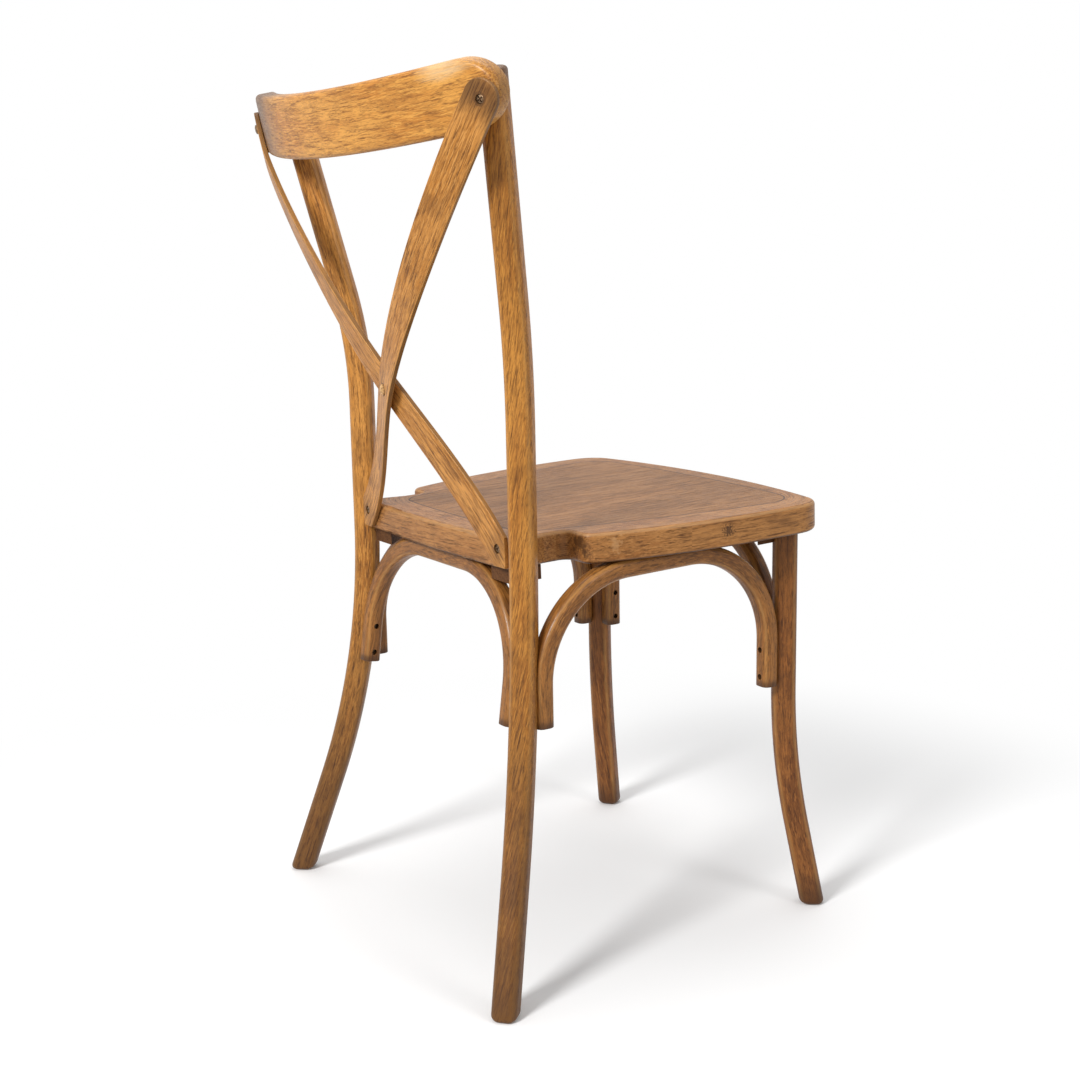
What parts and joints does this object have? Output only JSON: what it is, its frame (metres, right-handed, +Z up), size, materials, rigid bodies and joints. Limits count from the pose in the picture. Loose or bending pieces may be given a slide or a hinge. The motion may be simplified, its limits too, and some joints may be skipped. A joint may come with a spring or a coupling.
{
  "type": "cross back dining chair",
  "caption": "Solid wood dining chair with a bent crest rail, crossed back braces, a framed panel seat and bent arches under it.",
  "frame": {"origin": "on the floor, under the middle of the chair's overall width and depth", "axes": "+Z up, -Y to the front of the chair, +X to the sitter's left"},
  "size_m": [0.5078, 0.5039, 0.8999],
  "materials": {
    "frame_wood": "satin lacquer, medium brown",
    "seat_wood": "satin lacquer, greyer brown",
    "arch_wood": "satin lacquer, bent wood",
    "brace_wood": "satin lacquer, bent strip",
    "plug_wood": "satin lacquer, end grain",
    "block_wood": "thin lacquer",
    "screw_steel": "zinc plated"
  },
  "bodies": {
    "root": {"arch_crown_screws": "screw_steel", "arch_end_screws": "screw_steel", "back_post_left": "frame_wood", "back_post_right": "frame_wood", "brace_bottom_screws": "screw_steel", "brace_crossing_plug": "plug_wood", "brace_top_screws": "screw_steel", "corner_block_front_left": "block_wood", "corner_block_front_right": "block_wood", "corner_block_rear_left": "block_wood", "corner_block_rear_right": "block_wood", "corner_block_screws": "screw_steel", "crest_rail": "frame_wood", "crest_rail_dowels": "plug_wood", "crest_rail_screws": "screw_steel", "cross_brace_inner": "brace_wood", "cross_brace_outer": "brace_wood", "front_arch": "arch_wood", "front_leg_left": "frame_wood", "front_leg_right": "frame_wood", "post_barrel_nuts": "screw_steel", "post_bolts": "screw_steel", "rear_arch": "arch_wood", "seat_front_rail": "seat_wood", "seat_panel": "seat_wood", "seat_rear_rail": "seat_wood", "seat_side_rail_left": "seat_wood", "seat_side_rail_right": "seat_wood", "side_arch_left": "arch_wood", "side_arch_right": "arch_wood"}
  },
  "joints": []
}
